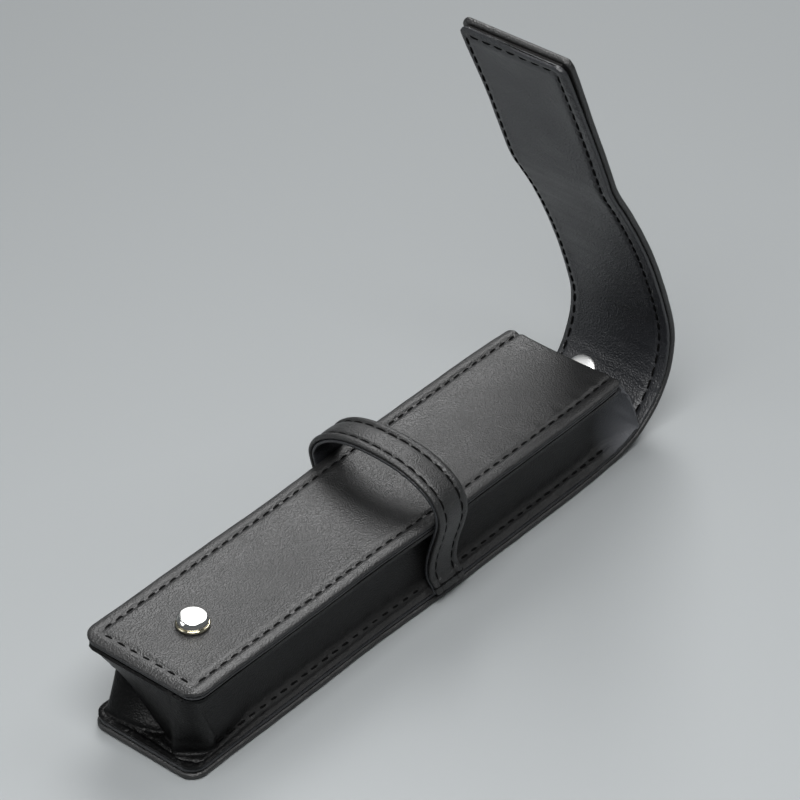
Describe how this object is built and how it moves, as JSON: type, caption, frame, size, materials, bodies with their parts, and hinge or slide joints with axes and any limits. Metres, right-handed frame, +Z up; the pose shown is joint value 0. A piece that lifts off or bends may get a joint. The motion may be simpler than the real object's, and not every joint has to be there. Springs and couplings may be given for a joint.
{
  "type": "fountain pen case",
  "caption": "Slim black leather pen case lying on its back, with a long raised flap, an arched keeper strap across the front and a polished metal stud.",
  "frame": {"origin": "centre of the back panel's underside, on the plane that the case lies on", "axes": "+Y along the case towards its mouth, +X across its width, +Z up through the front panel"},
  "size_m": [0.0424, 0.1853, 0.1318],
  "materials": {
    "outer_leather": "smooth black leather with a fine pebble grain and a soft sheen",
    "lining_leather": "fine-grained bluish black lining leather, matt",
    "gusset_leather": "thin soft black leather, creased",
    "stiffener_board": "raw grey-brown fibre board",
    "thread": "waxed black sewing thread",
    "polished_metal": "mirror-polished bright metal",
    "stud_nickel": "polished pale warm nickel on brass"
  },
  "bodies": {
    "case": {"back_panel_leather": "outer_leather", "back_panel_stiffener": "stiffener_board", "back_panel_lining": "lining_leather", "front_panel_leather": "outer_leather", "front_panel_stiffener": "stiffener_board", "front_panel_lining": "lining_leather", "gusset_side_right": "gusset_leather", "gusset_side_left": "gusset_leather", "gusset_end": "gusset_leather", "stud_base_ring": "stud_nickel", "stud_cap": "polished_metal", "stud_post": "stud_nickel", "stud_inner_head": "stud_nickel", "keeper_strap_leather": "outer_leather", "keeper_strap_lining": "lining_leather", "keeper_seam_thread_near": "thread", "keeper_seam_thread_far": "thread", "front_seam_thread": "thread", "back_seam_thread": "thread", "mouth_seam_thread_right": "thread", "mouth_seam_thread_left": "thread"},
    "flap_1": {"flap_leather_1": "outer_leather", "flap_lining_1": "lining_leather", "flap_seam_thread_1_right": "thread", "flap_seam_thread_1_left": "thread", "gusset_ear_right": "gusset_leather", "gusset_ear_left": "gusset_leather"},
    "flap_2": {"flap_leather_2": "outer_leather", "flap_lining_2": "lining_leather", "flap_seam_thread_2_right": "thread", "flap_seam_thread_2_left": "thread", "flap_rivet_head": "polished_metal", "flap_rivet_post": "stud_nickel", "flap_rivet_washer": "stud_nickel"},
    "flap_3": {"flap_leather_3": "outer_leather", "flap_lining_3": "lining_leather", "flap_seam_thread_3_right": "thread", "flap_seam_thread_3_left": "thread"},
    "flap_4": {"flap_leather_4": "outer_leather", "flap_lining_4": "lining_leather", "flap_seam_thread_4_right": "thread", "flap_seam_thread_4_left": "thread", "flap_stiffener_4": "stiffener_board"},
    "flap_5": {"flap_leather_5": "outer_leather", "flap_lining_5": "lining_leather", "flap_seam_thread_5": "thread", "flap_stiffener_5": "stiffener_board"}
  },
  "joints": [
    {"name": "flap_mouth_bend", "type": "hinge", "parent": "case", "child": "flap_1", "pos_m": [0, 0.08299, 0.00159], "axis": [1, 0, 0], "range_deg": [-17, 9.4]},
    {"name": "flap_sweep_bend_2", "type": "hinge", "parent": "flap_1", "child": "flap_2", "pos_m": [0, 0.0956, 0.0072], "axis": [1, 0, 0], "range_deg": [-27.2, 15.1]},
    {"name": "flap_sweep_bend_3", "type": "hinge", "parent": "flap_2", "child": "flap_3", "pos_m": [0, 0.10299, 0.01885], "axis": [1, 0, 0], "range_deg": [-27.2, 15.1]},
    {"name": "flap_sweep_bend_4", "type": "hinge", "parent": "flap_3", "child": "flap_4", "pos_m": [0, 0.10271, 0.03265], "axis": [1, 0, 0], "range_deg": [-27.2, 15.1]},
    {"name": "flap_tip_bend", "type": "hinge", "parent": "flap_4", "child": "flap_5", "pos_m": [0, 0.07658, 0.08419], "axis": [1, 0, 0], "range_deg": [-25, 3]}
  ],
  "couplings": [
    {"joint": "flap_sweep_bend_2", "follows": "flap_mouth_bend", "ratio": 1.6},
    {"joint": "flap_sweep_bend_3", "follows": "flap_mouth_bend", "ratio": 1.6},
    {"joint": "flap_sweep_bend_4", "follows": "flap_mouth_bend", "ratio": 1.6}
  ]
}
